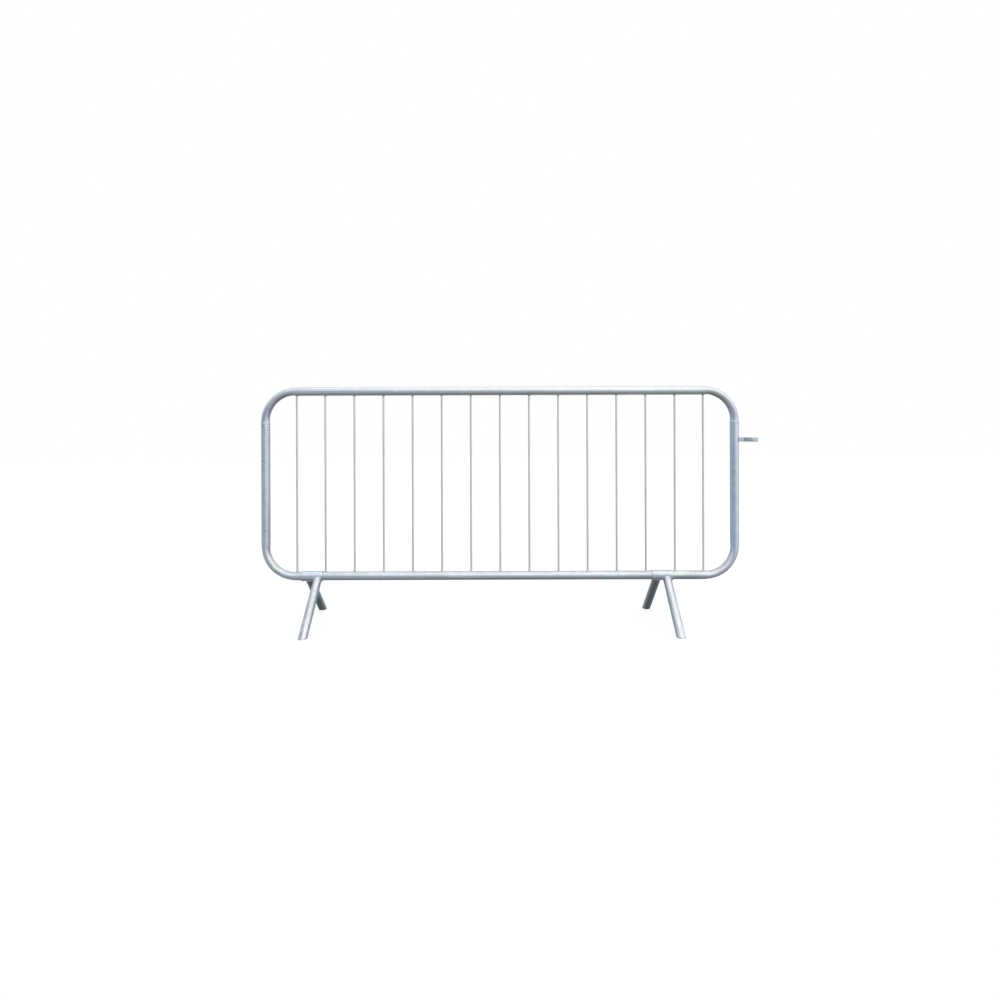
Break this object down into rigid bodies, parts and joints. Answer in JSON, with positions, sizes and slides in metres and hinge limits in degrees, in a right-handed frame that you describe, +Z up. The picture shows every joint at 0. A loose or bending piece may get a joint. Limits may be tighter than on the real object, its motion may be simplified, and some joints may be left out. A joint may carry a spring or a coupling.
{
  "type": "crowd control barrier",
  "caption": "Round-cornered steel tube frame with upright infill bars, fixed splayed legs and a side hook that links it to the next barrier.",
  "frame": {"origin": "on the ground, at the centre of the overall box", "axes": "+X along the barrier towards the hook, -Y the front, +Z up"},
  "size_m": [2.3002, 0.5414, 1.09],
  "materials": {
    "frame_tube": "hot-dip galvanised, satin, with soft mottling",
    "infill_bar": "hot-dip galvanised, matt grey",
    "leg_collar": "hot-dip galvanised, satin",
    "leg_tube": "hot-dip galvanised, pale and bright, worn at the foot",
    "hook_strip": "hot-dip galvanised, blue-grey",
    "weld_metal": "zinc over rough weld"
  },
  "bodies": {
    "root": {"top_frame_tube": "frame_tube", "bottom_frame_tube": "frame_tube", "infill_bar_01": "infill_bar", "infill_bar_02": "infill_bar", "infill_bar_03": "infill_bar", "infill_bar_04": "infill_bar", "infill_bar_05": "infill_bar", "infill_bar_06": "infill_bar", "infill_bar_07": "infill_bar", "infill_bar_08": "infill_bar", "infill_bar_09": "infill_bar", "infill_bar_10": "infill_bar", "infill_bar_11": "infill_bar", "infill_bar_12": "infill_bar", "infill_bar_13": "infill_bar", "infill_bar_14": "infill_bar", "infill_bar_15": "infill_bar", "left_leg_collar": "leg_collar", "right_leg_collar": "leg_collar", "front_left_leg": "leg_tube", "rear_left_leg": "leg_tube", "front_right_leg": "leg_tube", "rear_right_leg": "leg_tube", "coupling_hook": "hook_strip", "left_seam_weld": "weld_metal", "right_seam_weld": "weld_metal", "left_collar_weld": "weld_metal", "right_collar_weld": "weld_metal", "front_left_leg_weld": "weld_metal", "rear_left_leg_weld": "weld_metal", "front_right_leg_weld": "weld_metal", "rear_right_leg_weld": "weld_metal", "hook_weld": "weld_metal"}
  },
  "joints": []
}
